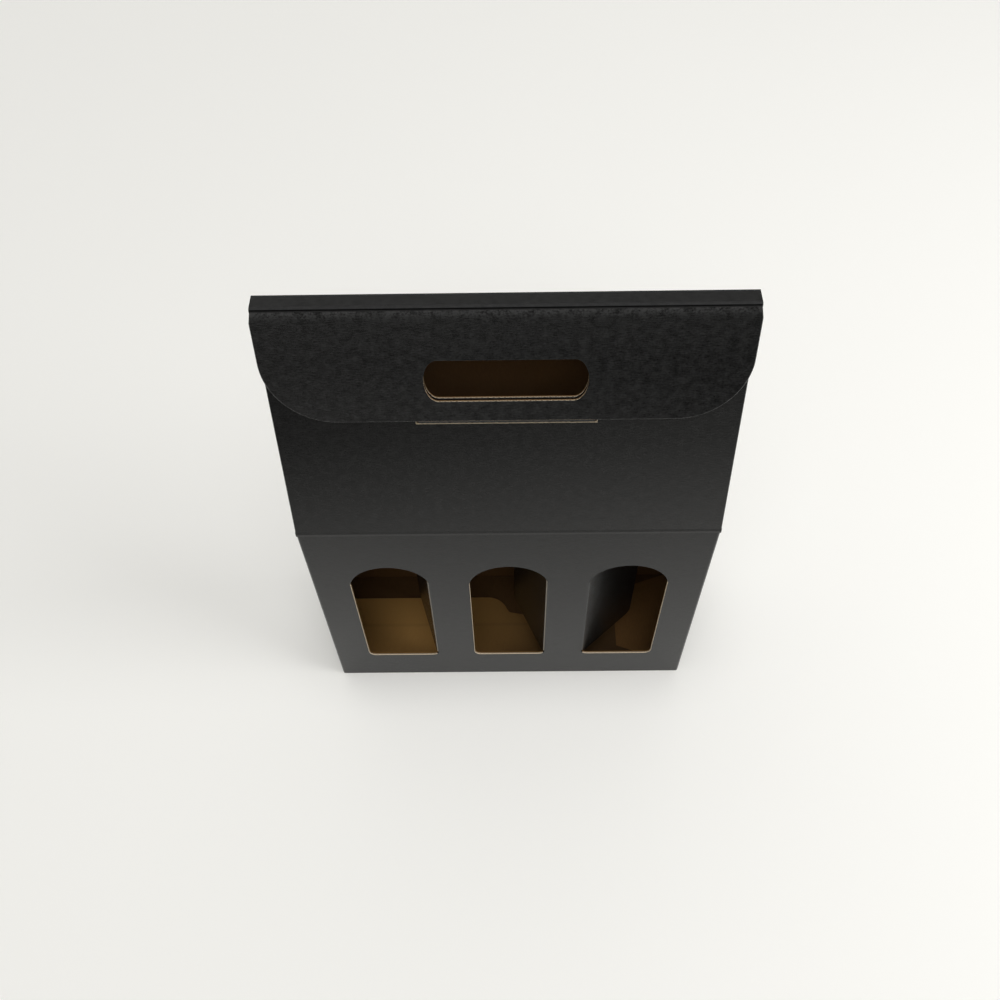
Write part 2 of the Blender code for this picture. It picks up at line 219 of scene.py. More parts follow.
@dataclass(frozen=True)
class BlackLiner(Finish):
    """Kraft liner printed all over in matt black, with a thin water-based varnish.

    The ink sinks in unevenly, so the black is mottled in soft clouds with short fibres in it, and
    it reflects little straight on but picks up the floor at a low angle. Along a crease a pale band
    or line can be added as a painted highlight, and a dark pressed line as painted shade. The gloss
    of a large panel can fade along it, which keeps the tone as even from panel to panel as the real
    carton has it.
    """

    name: str = "black_liner"
    ink: str = "#060606"
    thin_ink: str = "#1d1d1d"
    band_highlight_ink: str = "#484848"
    painted_line_ink: str = "#060606"
    ior: float = 1.38
    roughness: float = 0.25
    sheen: float = 0.5
    # Real fibres are about 0.03 mm thick, and the ink's mottle is finer than a millimetre. Both
    # are drawn as coarse as they need to be to show in the render.
    cloud: float = 5.0 * MM
    mottle: float = 1.3 * MM
    fibre_length: float = 4.0 * MM
    fibre_width: float = 0.5 * MM
    fibre_share: float = 1.2
    full_ink: float = 1.3
    bare_ink: float = 1.95
    grain_depth: float = 0.15 * MM
    grain_strength: float = 0.35
    flute_depth: float = 0.05 * MM
    flute_strength: float = 0.10
    # Painted highlight in a band along the crease, which comes and goes with the mottle
    highlight_band_width: float = 0.0
    highlight_band_starts: float = 0.8
    highlight_band_full: float = 1.12
    # Gloss near the crease and at a reach from it, and how far it leans to one side
    sheen_levels: tuple[float, float] | None = None
    sheen_reach: float = 1.0
    sheen_lean: float = 0.0
    half_width: float = 135.0 * MM
    # Line along a crease, by its depth in the bent strip: painted shade of the scored groove when
    # its ink is dark, a painted highlight of the bend when its ink is pale
    score_depth: float | None = None
    score_width: float = 0.45 * MM
    score_sheen: float = 0.1

    def paint(self, tree: bpy.types.NodeTree, shader: bpy.types.Node,
              place: bpy.types.NodeSocket) -> bpy.types.NodeSocket:
        """Paint printed black on a shader.

        Args:
            tree: Node tree of the material.
            shader: Principled shader that gets the finish.
            place: Socket with the surface's own coordinates.

        Returns:
            The socket with the ink's colour.
        """
        clouds = add_node(tree, "TexNoise", {
            "Vector": place, "Scale": 1 / self.cloud, "Detail": 2.0})
        mottle = add_node(tree, "TexNoise", {
            "Vector": place, "Scale": 1 / self.mottle, "Detail": 3.0, "Roughness": 0.6})
        stretch = add_node(tree, "Mapping", {"Vector": place, "Scale": (
            1 / self.fibre_length, 1 / self.fibre_width, 1 / self.fibre_width)})
        fibres = add_node(tree, "TexNoise", {"Vector": stretch, "Scale": 1.0, "Detail": 2.0})
        patches = add_node(tree, "Math", {0: clouds, 1: mottle}, operation="ADD")
        ink_weight = add_node(tree, "Math", {0: fibres, 1: self.fibre_share, 2: patches},
                              operation="MULTIPLY_ADD")
        spread = add_node(tree, "MapRange", {
            "Value": ink_weight, "From Min": self.full_ink, "From Max": self.bare_ink})
        colour = add_node(tree, "Mix", {FACTOR: spread, FIRST: self.ink, SECOND: self.thin_ink},
                          MIXED, data_type="RGBA")
        sides = add_node(tree, "SeparateXYZ", {"Vector": place}).node.outputs
        # Painted highlight: a paler band along the crease
        if self.highlight_band_width > 0:
            near = add_node(tree, "MapRange", {
                "Value": sides["Y"], "From Min": 0.0, "From Max": self.highlight_band_width,
                "To Min": 1.0, "To Max": 0.0}, interpolation_type="SMOOTHSTEP")
            patchy = add_node(tree, "MapRange", {
                "Value": patches, "From Min": self.highlight_band_starts, "From Max": self.highlight_band_full})
            painted_highlight = add_node(tree, "Math", {0: near, 1: patchy}, operation="MULTIPLY")
            colour = add_node(tree, "Mix", {
                FACTOR: painted_highlight, FIRST: colour, SECOND: self.band_highlight_ink}, MIXED, data_type="RGBA")
        if self.sheen_levels is not None:
            upwards = add_node(tree, "MapRange", {
                "Value": sides["Y"], "From Min": 0.0, "From Max": self.sheen_reach,
                "To Min": self.sheen_levels[0], "To Max": self.sheen_levels[1]})
            sideways = add_node(tree, "MapRange", {
                "Value": sides["X"], "From Min": -self.half_width, "From Max": self.half_width,
                "To Min": -self.sheen_lean, "To Max": self.sheen_lean})
            level = add_node(tree, "Math", {0: upwards, 1: sideways}, operation="ADD")
            tree.links.new(level, shader.inputs["Specular IOR Level"])
        # Painted line along the crease: shade when its ink is dark, highlight when its ink is pale
        if self.score_depth is not None:
            off = add_node(tree, "Math", {0: sides["Z"], 1: self.score_depth}, operation="ADD")
            away = add_node(tree, "Math", {0: off}, operation="ABSOLUTE")
            beside = add_node(tree, "MapRange", {
                "Value": away, "From Min": self.score_width / 2, "From Max": self.score_width},
                interpolation_type="SMOOTHSTEP")
            colour = add_node(tree, "Mix", {
                FACTOR: beside, FIRST: self.painted_line_ink, SECOND: colour}, MIXED, data_type="RGBA")
            level = add_node(tree, "Math", {
                0: beside, 1: self.sheen - self.score_sheen, 2: self.score_sheen},
                operation="MULTIPLY_ADD")
            tree.links.new(level, shader.inputs["Specular IOR Level"])
        tree.links.new(colour, shader.inputs["Base Color"])
        flutes = add_node(tree, "TexWave", {
            "Vector": place, "Scale": FLUTE_SCALE, "Distortion": 0.0}, "Fac",
            wave_type="BANDS", bands_direction="X", wave_profile="SIN")
        grain = add_node(tree, "Bump", {
            "Height": ink_weight, "Strength": self.grain_strength,
            "Distance": self.grain_depth})
        washboard = add_node(tree, "Bump", {
            "Height": flutes, "Strength": self.flute_strength, "Distance": self.flute_depth,
            "Normal": grain})
        tree.links.new(washboard, shader.inputs["Normal"])
        shader.inputs["IOR"].default_value = self.ior
        return colour


@dataclass(frozen=True)
class KraftLiner(Finish):
    """Unbleached kraft paper, the bare inside of the board.

    Long brown fibres lie mostly one way with darker flecks among them, and the paper is dull.
    """

    name: str = "kraft_liner"
    # The paper is drawn darker than fresh kraft, as painted shade of the box's dim inside
    paper: str = "#785731"
    shade: str = "#6c4d2a"
    fleck: str = "#4a351d"
    roughness: float = 0.85
    sheen: float = 0.3
    # Real fibres are about 0.03 mm thick. They and the flecks are drawn as coarse as they need
    # to be to show in the render.
    fibre_length: float = 5.0 * MM
    fibre_width: float = 0.7 * MM
    fibre_range: tuple[float, float] = (0.25, 0.75)
    fibre_depth: float = 0.1 * MM
    fibre_strength: float = 0.3
    fleck_size: float = 0.8 * MM
    fleck_range: tuple[float, float] = (0.64, 0.78)
    fleck_share: float = 0.5

    def paint(self, tree: bpy.types.NodeTree, shader: bpy.types.Node,
              place: bpy.types.NodeSocket) -> bpy.types.NodeSocket:
        """Paint bare kraft on a shader.

        Args:
            tree: Node tree of the material.
            shader: Principled shader that gets the finish.
            place: Socket with the surface's own coordinates.

        Returns:
            The socket with the paper's colour.
        """
        stretch = add_node(tree, "Mapping", {"Vector": place, "Scale": (
            1 / self.fibre_width, 1 / self.fibre_length, 1 / self.fibre_width)})
        fibres = add_node(tree, "TexNoise", {
            "Vector": stretch, "Scale": 1.0, "Detail": 4.0, "Roughness": 0.65})
        spread = add_node(tree, "MapRange", {
            "Value": fibres, "From Min": self.fibre_range[0], "From Max": self.fibre_range[1]})
        paper = add_node(tree, "Mix", {FACTOR: spread, FIRST: self.shade, SECOND: self.paper},
                         MIXED, data_type="RGBA")
        flecks = add_node(tree, "TexNoise", {
            "Vector": place, "Scale": 1 / self.fleck_size, "Detail": 2.0})
        dark = add_node(tree, "MapRange", {
            "Value": flecks, "From Min": self.fleck_range[0], "From Max": self.fleck_range[1],
            "To Max": self.fleck_share})
        colour = add_node(tree, "Mix", {FACTOR: dark, FIRST: paper, SECOND: self.fleck},
                          MIXED, data_type="RGBA")
        tree.links.new(colour, shader.inputs["Base Color"])
        bump = add_node(tree, "Bump", {
            "Height": fibres, "Strength": self.fibre_strength, "Distance": self.fibre_depth})
        tree.links.new(bump, shader.inputs["Normal"])
        return colour


@dataclass(frozen=True)
class CutBoard(Finish):
    """Die-cut edge of E-flute board: two kraft liners with the wavy medium between them.

    The flutes run from the base to the ridge, so across them the cut shows waves with the hollows
    between them painted dark as shade, and along them it shows a plain line. The knife bares fresh,
    pale fibre near the black face; the brown deeper in the cut is partly the inner liner's own
    kraft and partly painted shade.
    """

    name: str = "cut_board"
    paper: str = "#d9c8ad"
    # Partly the inner liner's own brown, partly painted shade deeper in the cut
    inner_paper: str = "#7d5f3a"
    # Painted shade of the hollows between the flutes
    pocket_shade: str = "#3f2f20"
    board: float = 1.6 * MM
    liner_share: float = 0.22
    medium_share: float = 0.2
    # Depths in the board, from -1 inside to 1 at the black face, over which the brown pales; the
    # brown is partly the inner liner's own kraft and partly painted shade deeper in the cut
    inner_depths: tuple[float, float] = (-0.5, 0.15)
    # Torn fibre ends, drawn much coarser than the real 0.03 mm so that they show
    fuzz: float = 0.8 * MM
    fuzz_range: tuple[float, float] = (0.3, 0.6)
    least_torn: float = 0.6
    pocket_depth: float = 0.3 * MM
    pocket_strength: float = 0.6

    def paint(self, tree: bpy.types.NodeTree, shader: bpy.types.Node,
              place: bpy.types.NodeSocket) -> bpy.types.NodeSocket:
        """Paint liners, medium and pockets on a shader.

        Args:
            tree: Node tree of the material.
            shader: Principled shader that gets the finish.
            place: Socket with the surface's own coordinates.

        Returns:
            The socket with the colour of the cut.
        """
        sides = add_node(tree, "SeparateXYZ", {"Vector": place}).node.outputs
        turn = add_node(tree, "Math", {0: sides["X"], 1: math.tau / FLUTE_PITCH},
                        operation="MULTIPLY")
        wave = add_node(tree, "Math", {0: turn}, operation="SINE")
        depth = add_node(tree, "MapRange", {
            "Value": sides["Z"], "From Min": -self.board, "From Max": 0.0,
            "To Min": -1.0, "To Max": 1.0})
        swing = add_node(tree, "Math", {0: wave, 1: -(1 - 2 * self.liner_share), 2: depth},
                         operation="MULTIPLY_ADD")
        off_medium = add_node(tree, "Math", {0: swing}, operation="ABSOLUTE")
        off_middle = add_node(tree, "Math", {0: depth}, operation="ABSOLUTE")
        in_pocket = add_node(tree, "MapRange", {
            "Value": off_medium, "From Min": self.medium_share,
            "From Max": 2 * self.medium_share})
        off_liner = add_node(tree, "MapRange", {
            "Value": off_middle, "From Min": 1 - 3 * self.liner_share,
            "From Max": 1 - 2 * self.liner_share, "To Min": 1.0, "To Max": 0.0})
        hollow = add_node(tree, "Math", {0: in_pocket, 1: off_liner}, operation="MULTIPLY")
        fuzz = add_node(tree, "TexNoise", {
            "Vector": place, "Scale": 1 / self.fuzz, "Detail": 2.0})
        ragged = add_node(tree, "MapRange", {
            "Value": fuzz, "From Min": self.fuzz_range[0], "From Max": self.fuzz_range[1],
            "To Min": self.least_torn, "To Max": 1.0})
        shaded_hollow = add_node(tree, "Math", {0: hollow, 1: ragged}, operation="MULTIPLY")
        inwards = add_node(tree, "MapRange", {
            "Value": depth, "From Min": self.inner_depths[0], "From Max": self.inner_depths[1],
            "To Min": 1.0, "To Max": 0.0})
        papers = add_node(tree, "Mix", {
            FACTOR: inwards, FIRST: self.paper, SECOND: self.inner_paper}, MIXED,
            data_type="RGBA")
        # Painted shade in the hollows between the flutes
        colour = add_node(tree, "Mix", {FACTOR: shaded_hollow, FIRST: papers, SECOND: self.pocket_shade},
                          MIXED, data_type="RGBA")
        tree.links.new(colour, shader.inputs["Base Color"])
        sink = add_node(tree, "Bump", {
            "Height": shaded_hollow, "Strength": self.pocket_strength,
            "Distance": self.pocket_depth}, invert=True)
        tree.links.new(sink, shader.inputs["Normal"])
        return colour


@dataclass(frozen=True)
class GluedFlapBoard(KraftLiner):
    """Base flaps and glue flap: kraft on the face that looks into the box, black underneath.

    A flap with a crease line is the front one. It gets painted shade along that line, a painted
    highlight in a pale band at its free edge, painted light growing towards that edge, and painted
    shade growing towards its right end, where little light reaches it.
    """

    name: str = "glued_flap_board"
    inward: Triple = (0.0, 0.0, 1.0)
    # Painted shade of the fold along the front flap's crease line, drawn in the fleck colour
    crease_y: float | None = None
    crease_half: float = 0.4 * MM
    crease_fade: float = 2.2 * MM
    crease_share: float = 0.4
    edge_y: float = 20.2 * MM
    # Pale band at the free edge in the cut fibre's colour: a painted highlight along the edge
    edge_highlight_band: tuple[float, float] = (1.2 * MM, 0.5 * MM)
    edge_highlight_share: float = 0.15
    # Painted light: the front flap grows lighter towards its free edge
    lit_from: float = -35.0 * MM
    lit_share: float = 0.75
    # Painted shade: the front flap grows darker towards its right end
    dim_from: float = -56.0 * MM
    dim_to: float = 60.0 * MM
    dim_share: float = 0.85
    outer_below: float = -0.5
    dim_paper: str = "#2c1d0f"
    lit_paper: str = "#bd9150"

    def place(self, tree: bpy.types.NodeTree) -> bpy.types.NodeSocket:
        """Coordinates of the object, because a flap keeps its CAD mesh as it is."""
        return add_node(tree, "TexCoord", output="Object")

    def paint(self, tree: bpy.types.NodeTree, shader: bpy.types.Node,
              place: bpy.types.NodeSocket) -> bpy.types.NodeSocket:
        """Paint kraft on the inward side of a flap and black on its other side.

        Args:
            tree: Node tree of the material.
            shader: Principled shader that gets the finish.
            place: Socket with the surface's own coordinates.

        Returns:
            The socket with the flap's colour.
        """
        colour = super().paint(tree, shader, place)
        if self.crease_y is not None:
            sides = add_node(tree, "SeparateXYZ", {"Vector": place}).node.outputs
            off = add_node(tree, "Math", {0: sides["Y"], 1: self.crease_y}, operation="SUBTRACT")
            away = add_node(tree, "Math", {0: off}, operation="ABSOLUTE")
            # Painted shade along the crease line
            line = add_node(tree, "MapRange", {
                "Value": away, "From Min": self.crease_half, "From Max": self.crease_fade,
                "To Min": self.crease_share, "To Max": 0.0}, interpolation_type="SMOOTHSTEP")
            # Painted highlight in a pale band along the free edge
            edge_highlight = add_node(tree, "MapRange", {
                "Value": sides["Y"], "From Min": self.edge_y - self.edge_highlight_band[0],
                "From Max": self.edge_y - self.edge_highlight_band[1], "To Max": self.edge_highlight_share})
            # Painted light growing towards the free edge
            painted_light_share = add_node(tree, "MapRange", {
                "Value": sides["Y"], "From Min": self.lit_from, "From Max": self.edge_y,
                "To Max": self.lit_share})
            # Painted shade growing towards the flap's right end
            beyond = add_node(tree, "MapRange", {
                "Value": sides["X"], "From Min": self.dim_from, "From Max": self.dim_to,
                "To Max": self.dim_share})
            for share, tone in ((line, self.fleck), (edge_highlight, CutBoard.paper),
                                (painted_light_share, self.lit_paper), (beyond, self.dim_paper)):
                colour = add_node(tree, "Mix", {FACTOR: share, FIRST: colour, SECOND: tone},
                                  MIXED, data_type="RGBA")
        facing = add_node(tree, "VectorMath", {
            0: place.node.outputs["Normal"], 1: self.inward}, "Value", operation="DOT_PRODUCT")
        outer = add_node(tree, "Math", {0: facing, 1: self.outer_below}, operation="LESS_THAN")
        colour = add_node(tree, "Mix", {
            FACTOR: outer, FIRST: colour, SECOND: BlackLiner.thin_ink}, MIXED, data_type="RGBA")
        tree.links.new(colour, shader.inputs["Base Color"])
        return colour


def clear_selection() -> None:
    """Leave edit mode and deselect every object."""
    if bpy.context.mode != "OBJECT":
        bpy.ops.object.mode_set(mode="OBJECT")
    bpy.ops.object.select_all(action="DESELECT")


@dataclass
class Sheet:
    """One piece of board on the bench, worked with edit-mode operators."""

    obj: bpy.types.Object

    @classmethod
    def lay(cls, name: str, add: Callable[..., set[str]], middle: tuple[float, float],
            scale: tuple[float, float]) -> "Sheet":
        """Lay down a flat primitive at its size and place.

        Args:
            name: Name of the piece.
            add: Operator that adds the primitive.
            middle: X and Y of its middle.
            scale: What stretches it to its size along X and Y.

        Returns:
            The flat sheet, without thickness.
        """
        clear_selection()
        add(location=(*middle, 0))
        obj = bpy.context.active_object
        obj.name = name
        obj.data.name = name
        obj.scale = (*scale, 1)
        bpy.ops.object.transform_apply(location=True, rotation=True, scale=True)
        return cls(obj)

    @classmethod
    def plate(cls, name: str, left: float, right: float, near: float, far: float) -> "Sheet":
        """Lay down a rectangle of board face.

        Args:
            name: Name of the piece.
            left: Lowest X.
            right: Highest X.
            near: Lowest Y.
            far: Highest Y.

        Returns:
            The flat sheet, without thickness.
        """
        square = partial(bpy.ops.mesh.primitive_plane_add, size=1)
        return cls.lay(name, square, ((left + right) / 2, (near + far) / 2),
                       (right - left, far - near))

    @classmethod
    def disc(cls, name: str, middle: tuple[float, float], radii: tuple[float, float]) -> "Sheet":
        """Lay down an ellipse of board face.

        Args:
            name: Name of the piece.
            middle: X and Y of its middle.
            radii: Its radii along X and Y.

        Returns:
            The flat sheet, without thickness.
        """
        circle = partial(bpy.ops.mesh.primitive_circle_add, vertices=ROUND_STEPS, radius=1,
                         fill_type="NGON")
        return cls.lay(name, circle, middle, radii)

    def make_active(self) -> None:
        """Select this piece alone, in object mode."""
        clear_selection()
        self.obj.select_set(True)
        bpy.context.view_layer.objects.active = self.obj

    def pick(self, kind: Pick, test: ElementTest | None = None) -> None:
        """Select elements, and stay in edit mode.

        Args:
            kind: Points, edges or faces.
            test: Says of an element whether it is wanted, or None for all.
        """
        self.make_active()
        bpy.ops.object.mode_set(mode="EDIT")
        bpy.ops.mesh.select_mode(type=kind.value)
        bpy.ops.mesh.select_all(action="DESELECT" if test else "SELECT")
        if test:
            bm = bmesh.from_edit_mesh(self.obj.data)
            elements = {Pick.POINTS: bm.verts, Pick.EDGES: bm.edges, Pick.FACES: bm.faces}[kind]
            for item in [item for item in elements if test(item)]:
                item.select_set(True)
            bmesh.update_edit_mesh(self.obj.data)

    def work(self, operator: Callable[..., set[str]], kind: Pick = Pick.FACES,
             test: ElementTest | None = None, **settings: object) -> None:
        """Run one edit-mode operator.

        Args:
            operator: Operator of bpy.ops.mesh.
            kind: Points, edges or faces.
            test: Says of an element whether it is worked, or None for all.
            **settings: Settings of the operator.
        """
        self.pick(kind, test)
        operator(**settings)
        bpy.ops.object.mode_set(mode="OBJECT")

    def round_corners(self, test: Test, radius: float, segments: int = 12) -> None:
        """Round corner points of the outline.

        Args:
            test: Says of a point whether it is such a corner.
            radius: Radius of the rounding.
            segments: Steps of each arc.
        """
        self.work(bpy.ops.mesh.bevel, Pick.POINTS, lambda point: test(point.co), offset=radius,
                  offset_type="OFFSET", segments=segments, affect="VERTICES")

    def extend(self, test: Test, step: Triple) -> None:
        """Draw the sheet out from some edges.

        Args:
            test: Says of an edge's middle whether it is drawn out.
            step: Translation of the edge.
        """
        self.work(bpy.ops.mesh.extrude_region_move, Pick.EDGES,
                  lambda edge: test(middle_of(edge)), TRANSFORM_OT_translate={"value": step})

    def curl(self, test: Test, centre: Vector, axis: Vector, angle: float, steps: int) -> None:
        """Roll the sheet on from some edges about an axis.

        Args:
            test: Says of an edge's middle whether it is rolled on.
            centre: Point on the axis.
            axis: Direction of the axis.
            angle: Angle of the roll.
            steps: Steps of the arc.
        """
        self.work(bpy.ops.mesh.spin, Pick.EDGES, lambda edge: test(middle_of(edge)),
                  steps=steps, angle=-angle, center=centre, axis=axis)

    def trim(self, point: Triple, normal: Triple) -> None:
        """Cut the sheet along a straight line and drop what lies beyond it.

        Args:
            point: Point of the line.
            normal: Direction of the side that is dropped.
        """
        self.work(bpy.ops.mesh.bisect, plane_co=point, plane_no=Vector(normal).normalized(),
                  clear_outer=True)

    def face_up(self) -> None:
        """Weld doubles and turn every face's black side to +Z."""
        self.work(bpy.ops.mesh.remove_doubles, threshold=TOUCH)
        self.work(bpy.ops.mesh.normals_make_consistent, inside=False)
        largest = max(self.obj.data.polygons, key=lambda face: face.area)
        if largest.normal.z < 0:
            self.work(bpy.ops.mesh.flip_normals)

    def thicken(self, board: float) -> None:
        """Give the sheet its board thickness, below the black face."""
        self.face_up()
        self.finish_with("SOLIDIFY", thickness=board, offset=-1.0, use_even_offset=True)

    def finish_with(self, kind: str, **settings: object) -> None:
        """Add a modifier and apply it.

        Args:
            kind: Blender's name for the modifier type.
            **settings: Properties of the modifier.
        """
        self.make_active()
        modifier = self.obj.modifiers.new(kind.title(), kind)
        for name, value in settings.items():
            setattr(modifier, name, value)
        bpy.ops.object.modifier_apply(modifier=modifier.name)

    def cut(self, *outlines: "Sheet") -> None:
        """Punch holes through the board.

        Args:
            *outlines: Flat shapes of the holes, which are used up.
        """
        for outline in outlines:
            outline.face_up()
            outline.obj.data.transform(Matrix.Translation((0, 0, CUTTER_REACH)))
            outline.finish_with("SOLIDIFY", thickness=2 * CUTTER_REACH, offset=-1.0)
            self.finish_with("BOOLEAN", operation="DIFFERENCE", solver="EXACT",
                             object=outline.obj)
            bpy.data.objects.remove(outline.obj)

    def crush_rim(self, test: Test, width: float = 0.55 * MM, depth: float = 0.0) -> None:
        """Round an edge of the board along a cut or folded outline, as the die crushes it.

        Args:
            test: Says of an edge's middle whether it is rounded.
            width: Width of the rounding.
            depth: Depth of the edge below the black face.
        """
        def on_rim(edge: bmesh.types.BMEdge) -> bool:
            """Tell whether an edge is sharp, at this depth, and one that the test wants.

            Args:
                edge: Edge of the board.

            Returns:
                Whether it is rounded.
            """
            if len(edge.link_faces) != 2 or edge.calc_face_angle() <= SHARP_EDGE:
                return False
            middle = middle_of(edge)
            return abs(middle.z + depth) < HAIR and test(middle)

        self.work(bpy.ops.mesh.bevel, Pick.EDGES, on_rim, offset=width, segments=3,
                  affect="EDGES", clamp_overlap=False)


def middle_of(edge: bmesh.types.BMEdge) -> Vector:
    """Middle of an edge."""
    return (edge.verts[0].co + edge.verts[1].co) / 2


def flat_depth(spot: Vector) -> float:
    """Depth of a point below a flat panel's black face."""
    return -spot.z


@dataclass
class Board:
    """Sizes of the board and its creases, with the finishes of its surfaces."""

    thickness: float = 1.6 * MM
    bend_radius: float = 1.7 * MM
    strip: float = 2.0 * MM
    crush: float = 0.6 * MM
    black: bpy.types.Material = field(default_factory=BlackLiner().make)
    wall_black: bpy.types.Material = field(default_factory=BlackLiner(
        name="wall_black_liner", sheen_levels=(0.62, 0.34), sheen_reach=210 * MM).make)
    slope_black: bpy.types.Material = field(default_factory=BlackLiner(
        name="slope_black_liner", sheen_levels=(0.66, 0.36), sheen_reach=75 * MM,
        sheen_lean=0.1).make)
    lid_black: bpy.types.Material = field(default_factory=BlackLiner(
        # The lid's pale band along its crease is a painted highlight
        name="lid_black_liner", thin_ink="#2a2a2a", highlight_band_width=9.0 * MM,
        sheen_levels=(0.72, 0.32), sheen_reach=35 * MM, sheen_lean=0.13).make)
    ridge_black: bpy.types.Material = field(default_factory=BlackLiner(
        name="ridge_black_liner", sheen=0.68).make)
    kraft: bpy.types.Material = field(default_factory=KraftLiner().make)
    cut: bpy.types.Material = field(default_factory=CutBoard().make)
    # The crushed rim is drawn grey, lighter than the black face: a painted highlight along the
    # lid's rounded edge
    rim: bpy.types.Material = field(default_factory=BlackLiner(
        name="crushed_rim", ink="#262626", thin_ink="#565656").make)
    creased: bpy.types.Material = field(default_factory=BlackLiner(
        name="creased_black_liner", roughness=0.7, sheen=0.72).make)
    # Pale line along a sharply folded crease: a painted highlight of the bend
    crease_highlight: bpy.types.Material = field(default_factory=BlackLiner(
        name="cracked_black_liner", painted_line_ink="#8f877b", score_depth=0.3 * MM,
        score_width=0.3 * MM).make)
    # Dark pressed line along the ridge's front crease: painted shade in the scored groove
    scored: bpy.types.Material = field(default_factory=BlackLiner(
        name="scored_black_liner", roughness=0.7, sheen=0.72, score_depth=0.9 * MM).make)

    def finish(self, sheet: Sheet, place: Matrix, black: bpy.types.Material | None = None,
               edge_skin: SkinRule = lambda middle: None,
               depth_of: Callable[[Vector], float] = flat_depth) -> None:
        """Dress a piece by the depth of its faces in the board and put it in its place.

        Args:
            sheet: Piece with its thickness, still on the bench.
            place: Frame of its crease.
            black: Finish of the black face where it isn't the usual one.
            edge_skin: Skin of a face off both liners, by its middle, or None for the usual.
            depth_of: Depth of a point below the black face.
        """
        mesh = sheet.obj.data
        mesh.materials.clear()
        for material in (black or self.black, self.kraft, self.cut, self.rim):
            mesh.materials.append(material)
        for face in mesh.polygons:
            depths = [depth_of(mesh.vertices[i].co) for i in face.vertices]
            if min(depths) > self.thickness - 2 * HAIR:
                skin = Skin.KRAFT
            elif max(depths) < 2 * HAIR:
                skin = Skin.BLACK
            else:
                usual = Skin.BLACK if max(depths) < self.crush else Skin.CUT
                skin = edge_skin(face.center) or usual
            face.material_index = skin.value
        sheet.work(bpy.ops.mesh.dissolve_degenerate, threshold=HAIR / 2)
        liners = [abs(face.normal.z) > LEVEL for face in mesh.polygons]
        flat = mesh.attributes.new("flat", "FLOAT_VECTOR", "POINT")
        flat.data.foreach_set("vector", [c for v in mesh.vertices for c in v.co])
        mesh.transform(place)
        sheet.make_active()
        bpy.ops.object.shade_smooth_by_angle(angle=SMOOTH_ANGLE)
        mesh.polygons.foreach_set("use_smooth", [not liner for liner in liners])
        log.info("%s: %d faces", sheet.obj.name, len(mesh.polygons))

    def install(self, sheet: Sheet, place: Matrix, body: str, node: str,
                **skins: object) -> None:
        """Finish a panel, attach it to its body and hide its CAD node.

        Args:
            sheet: Panel on the bench.
            place: Frame of its crease.
            body: Body that it rides on.
            node: CAD node that it replaces.
        """
        self.finish(sheet, place, **skins)
        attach(sheet.obj, body)
        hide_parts(node)


def folded(parent: Matrix, x: float, y: float, fold: float, turn: float = 0.0,
           depth: float = 0.0) -> Matrix:
    """Frame of a crease on a panel.

    Args:
        parent: Frame of the panel.
        x: Place of the crease's middle along the parent's X.
        y: Place of the crease's middle along the parent's Y.
        fold: Angle by which the new panel is folded inwards.
        turn: Angle that points the crease's Y away from the parent.
        depth: Depth of the crease below the black face.

    Returns:
        The new panel's frame.
    """
    place = Matrix.Translation((x, y, -depth))
    return parent @ place @ Matrix.Rotation(turn, 4, "Z") @ Matrix.Rotation(-fold, 4, "X")


@dataclass
class Carton:
    """Measures of the folded carton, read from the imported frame."""

    board: Board
    lid_stand_off: float = 2.0 * MM
    half_width: float = 0.0
    half_depth: float = 0.0
    kink: float = 0.0
    ridge_depth: float = 0.0
    back_lean: float = 0.0
    front_lean: float = 0.0
    slope_length: float = 0.0
    front_slope_length: float = 0.0
    lid_length: float = 0.0
    places: dict[str, Matrix] = field(default_factory=dict)

    def __post_init__(self) -> None:
        """Read the creases and work out leans, lengths and the panels' frames."""
        creases = {joint["name"]: Vector(joint["pos_m"]) for joint in frame["joints"]}
        self.half_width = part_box("back_slope")[1].x
        back = creases["back_slope_fold"]
        ridge_back = creases["ridge_fold"]
        self.half_depth = back.y
        self.kink = back.z
        self.ridge_depth = 2 * ridge_back.y
        shoulder = back.y - ridge_back.y
        rise = ridge_back.z - back.z
        self.back_lean = math.atan2(shoulder, rise)
        self.slope_length = math.hypot(shoulder, rise)
        self.front_lean = self.back_lean + math.asin(self.lid_stand_off / self.slope_length)
        self.front_slope_length = math.sqrt(self.slope_length ** 2 - self.lid_stand_off ** 2)
        tab = creases["tab_fold"] - creases["lid_swing"]
        self.lid_length = math.sqrt(tab.length_squared - self.board.thickness ** 2)
        put = self.places
        put["front"] = self.wall(0, self.half_depth)
        put["back"] = self.wall(math.pi, self.half_depth)
        put["left"] = self.wall(-RIGHT_ANGLE, self.half_width)
        put["right"] = self.wall(RIGHT_ANGLE, self.half_width)
        put["front_slope"] = folded(put["front"], 0, self.kink, self.front_lean)
        put["back_slope"] = folded(put["back"], 0, self.kink, self.back_lean)
        put["ridge"] = folded(put["back_slope"], 0, self.slope_length,
                              RIGHT_ANGLE - self.back_lean)
        put["lid"] = folded(put["ridge"], 0, self.ridge_depth, RIGHT_ANGLE - self.front_lean)

    def wall(self, turn: float, reach: float) -> Matrix:
        """Frame of an upright wall, its origin on the floor and its Y up.

        Args:
            turn: Turn about the box's upright axis, 0 for the front.
            reach: Distance of the wall's black face from the middle of the box.

        Returns:
            The wall's frame.
        """
        return (Matrix.Rotation(turn, 4, "Z") @ Matrix.Translation((0, -reach, 0))
                @ Matrix.Rotation(RIGHT_ANGLE, 4, "X"))

    def crease(self, panel: str, up: float) -> Matrix:
        """Frame of the crease at a height of a panel, still unfolded."""
        return self.places[panel] @ Matrix.Translation((0, up, 0))


